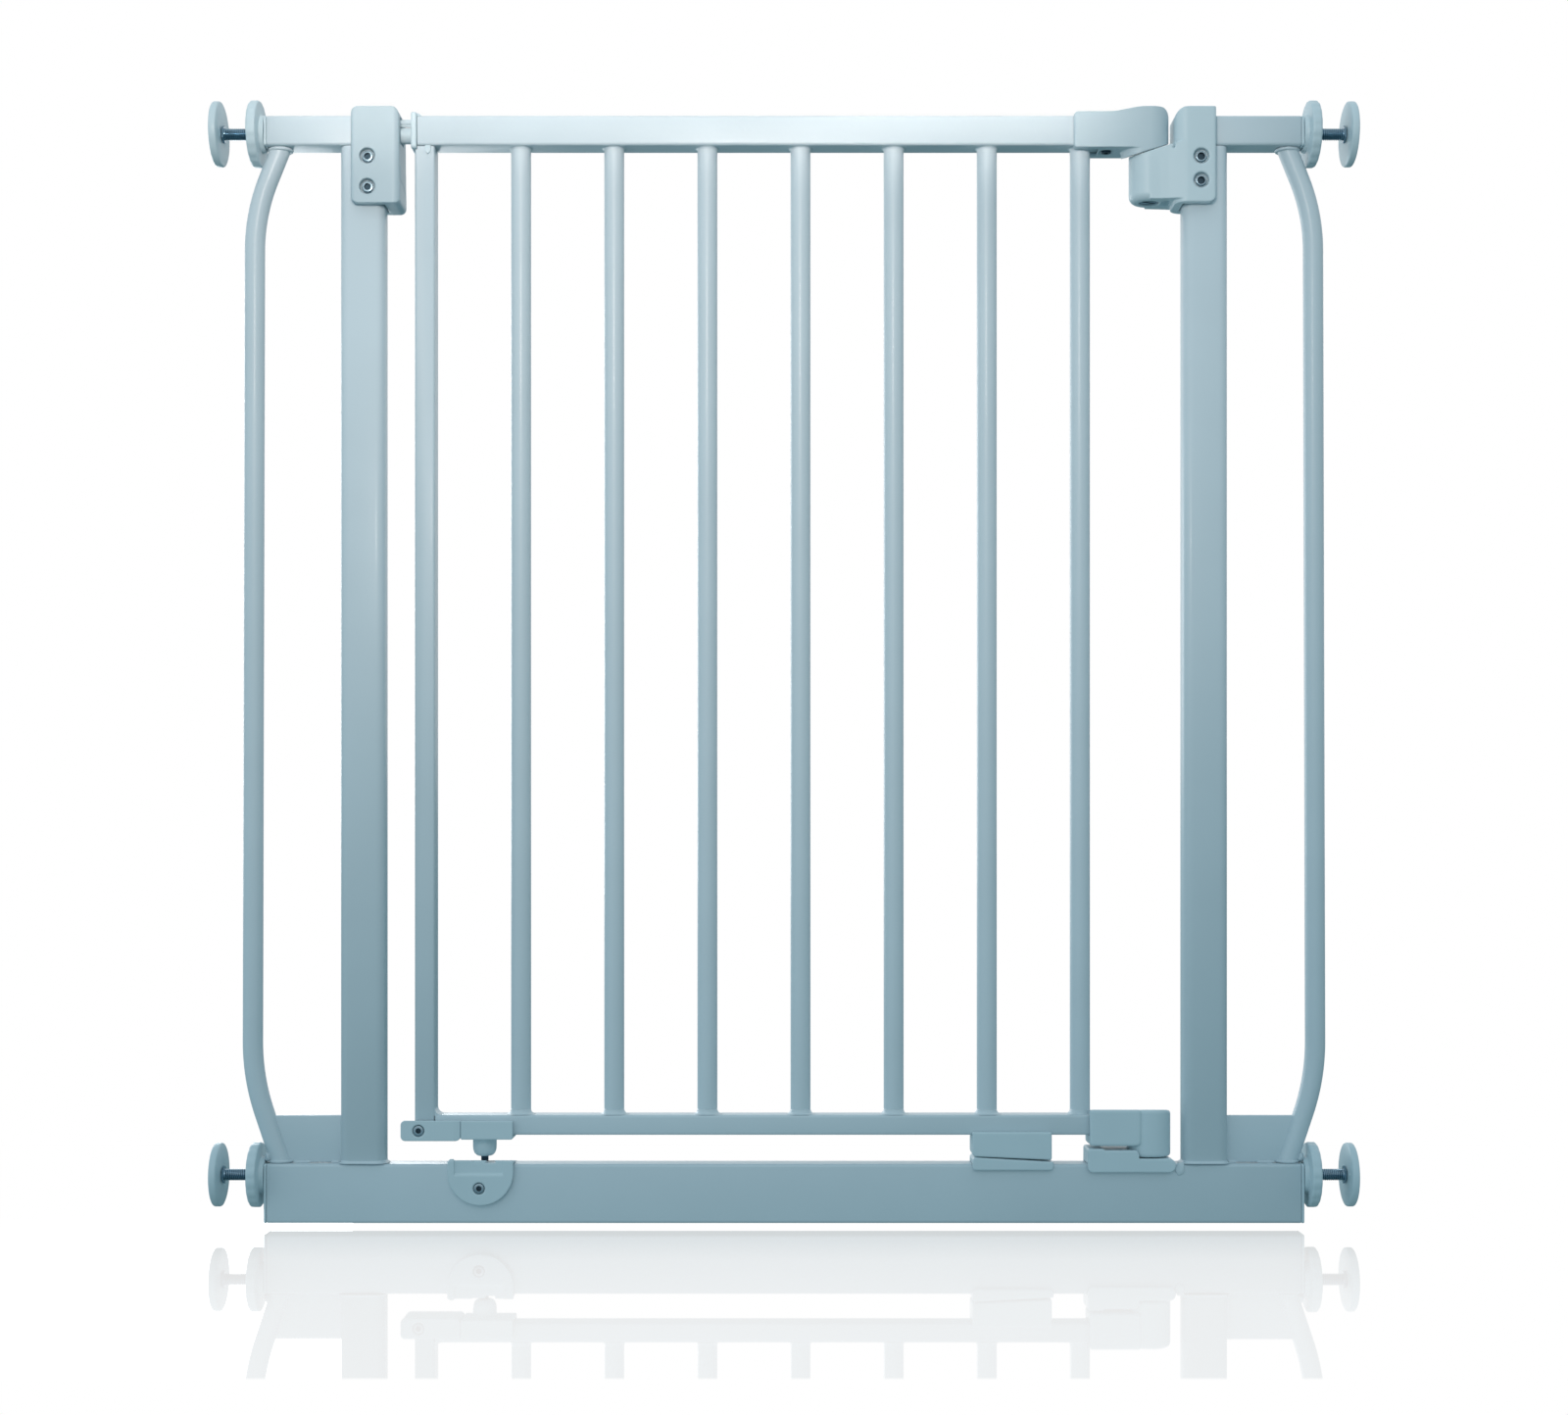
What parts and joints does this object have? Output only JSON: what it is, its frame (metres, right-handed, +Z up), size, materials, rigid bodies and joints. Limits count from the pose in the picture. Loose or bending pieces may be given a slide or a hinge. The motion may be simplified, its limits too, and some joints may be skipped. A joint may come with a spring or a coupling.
{
  "type": "pressure-fit stair gate",
  "caption": "Pressure-fit stair gate: steel frame with screw-out wall pads, and a sprung, self-closing barred leaf with an upper tongue latch and a foot pin latch.",
  "frame": {"origin": "on the floor, under the middle of the gate", "axes": "+X across the doorway towards the hinge side, +Y to the side the leaf doesn't open to, +Z up"},
  "size_m": [0.772, 0.044, 0.7595],
  "materials": {
    "painted_steel": "pale blue-white powder coat, satin",
    "moulded_plastic": "pale blue-white moulding, semi-gloss",
    "zinc_steel": "bright zinc plating",
    "dark_steel": "dark blued steel",
    "spring_steel": "plain spring wire"
  },
  "bodies": {
    "root": {"bottom_rail": "painted_steel", "left_post": "painted_steel", "right_post": "painted_steel", "left_top_stub": "painted_steel", "right_top_stub": "painted_steel", "left_side_tube": "painted_steel", "right_side_tube": "painted_steel", "left_gusset": "painted_steel", "right_gusset": "painted_steel", "upper_left_tube_cap": "moulded_plastic", "upper_right_tube_cap": "moulded_plastic", "lower_left_tube_cap": "moulded_plastic", "lower_right_tube_cap": "moulded_plastic", "keeper_housing": "moulded_plastic", "keeper_upper_screw": "zinc_steel", "keeper_lower_screw": "zinc_steel", "lower_keeper": "moulded_plastic", "lower_keeper_screw": "zinc_steel", "rest_ramp": "moulded_plastic", "hinge_bracket": "moulded_plastic", "bracket_upper_screw": "zinc_steel", "bracket_lower_screw": "zinc_steel", "lower_hinge_seat": "moulded_plastic"},
    "pivots": {"upper_pivot_pin": "zinc_steel", "lower_pivot_pin": "zinc_steel"},
    "hinge_arm": {"upper_knuckle": "moulded_plastic", "upper_knuckle_screw": "zinc_steel", "lower_knuckle": "moulded_plastic", "upper_slide_spring": "spring_steel", "lower_slide_spring": "spring_steel"},
    "leaf": {"top_rail": "painted_steel", "leaf_bottom_rail": "painted_steel", "latch_stile": "painted_steel", "bar_1": "painted_steel", "bar_2": "painted_steel", "bar_3": "painted_steel", "bar_4": "painted_steel", "bar_5": "painted_steel", "bar_6": "painted_steel", "bar_7": "painted_steel", "latch_end_cap": "moulded_plastic", "latch_tongue": "moulded_plastic", "foot_clamp": "moulded_plastic", "foot_clamp_screw": "zinc_steel", "foot_sleeve": "moulded_plastic", "foot_pin": "dark_steel", "rest_block": "moulded_plastic"},
    "spindle_upper_left": {"threaded_rod_upper_left": "zinc_steel", "wall_pad_upper_left": "moulded_plastic"},
    "wheel_upper_left": {"hand_wheel_upper_left": "moulded_plastic"},
    "spindle_upper_right": {"threaded_rod_upper_right": "zinc_steel", "wall_pad_upper_right": "moulded_plastic"},
    "wheel_upper_right": {"hand_wheel_upper_right": "moulded_plastic"},
    "spindle_lower_left": {"threaded_rod_lower_left": "zinc_steel", "wall_pad_lower_left": "moulded_plastic"},
    "wheel_lower_left": {"hand_wheel_lower_left": "moulded_plastic"},
    "spindle_lower_right": {"threaded_rod_lower_right": "zinc_steel", "wall_pad_lower_right": "moulded_plastic"},
    "wheel_lower_right": {"hand_wheel_lower_right": "moulded_plastic"}
  },
  "joints": [
    {"name": "gate_swing", "type": "hinge", "parent": "root", "child": "pivots", "pos_m": [0.2474, 0, 0.7], "axis": [0, 0, 1], "range_deg": [0, 90]},
    {"name": "gate_rise", "type": "slide", "parent": "pivots", "child": "hinge_arm", "axis": [0, 0, 1], "range_m": [0, 0.0083]},
    {"name": "leaf_slide", "type": "slide", "parent": "hinge_arm", "child": "leaf", "axis": [1, 0, 0], "range_m": [0, 0.005], "stiffness_N_per_m": 800, "springref_m": -0.006, "deforming": ["upper_slide_spring", "lower_slide_spring"]},
    {"name": "spindle_slide_upper_left", "type": "slide", "parent": "root", "child": "spindle_upper_left", "axis": [-1, 0, 0], "range_m": [-0.009, 0.018]},
    {"name": "wheel_spin_upper_left", "type": "hinge", "parent": "root", "child": "wheel_upper_left", "pos_m": [-0.3513, 0, 0.7375], "axis": [1, 0, 0], "range_deg": [-2600, 5200]},
    {"name": "spindle_slide_upper_right", "type": "slide", "parent": "root", "child": "spindle_upper_right", "axis": [1, 0, 0], "range_m": [-0.009, 0.018]},
    {"name": "wheel_spin_upper_right", "type": "hinge", "parent": "root", "child": "wheel_upper_right", "pos_m": [0.3513, 0, 0.7375], "axis": [-1, 0, 0], "range_deg": [-2600, 5200]},
    {"name": "spindle_slide_lower_left", "type": "slide", "parent": "root", "child": "spindle_lower_left", "axis": [-1, 0, 0], "range_m": [-0.009, 0.018]},
    {"name": "wheel_spin_lower_left", "type": "hinge", "parent": "root", "child": "wheel_lower_left", "pos_m": [-0.3513, 0, 0.0317], "axis": [1, 0, 0], "range_deg": [-2600, 5200]},
    {"name": "spindle_slide_lower_right", "type": "slide", "parent": "root", "child": "spindle_lower_right", "axis": [1, 0, 0], "range_m": [-0.009, 0.018]},
    {"name": "wheel_spin_lower_right", "type": "hinge", "parent": "root", "child": "wheel_lower_right", "pos_m": [0.3513, 0, 0.0317], "axis": [-1, 0, 0], "range_deg": [-2600, 5200]}
  ],
  "couplings": [
    {"joint": "gate_rise", "follows": "gate_swing", "m_per_rad": 0.005205},
    {"joint": "wheel_spin_upper_left", "follows": "spindle_slide_upper_left", "rad_per_m": 5026.5},
    {"joint": "wheel_spin_upper_right", "follows": "spindle_slide_upper_right", "rad_per_m": 5026.5},
    {"joint": "wheel_spin_lower_left", "follows": "spindle_slide_lower_left", "rad_per_m": 5026.5},
    {"joint": "wheel_spin_lower_right", "follows": "spindle_slide_lower_right", "rad_per_m": 5026.5}
  ]
}
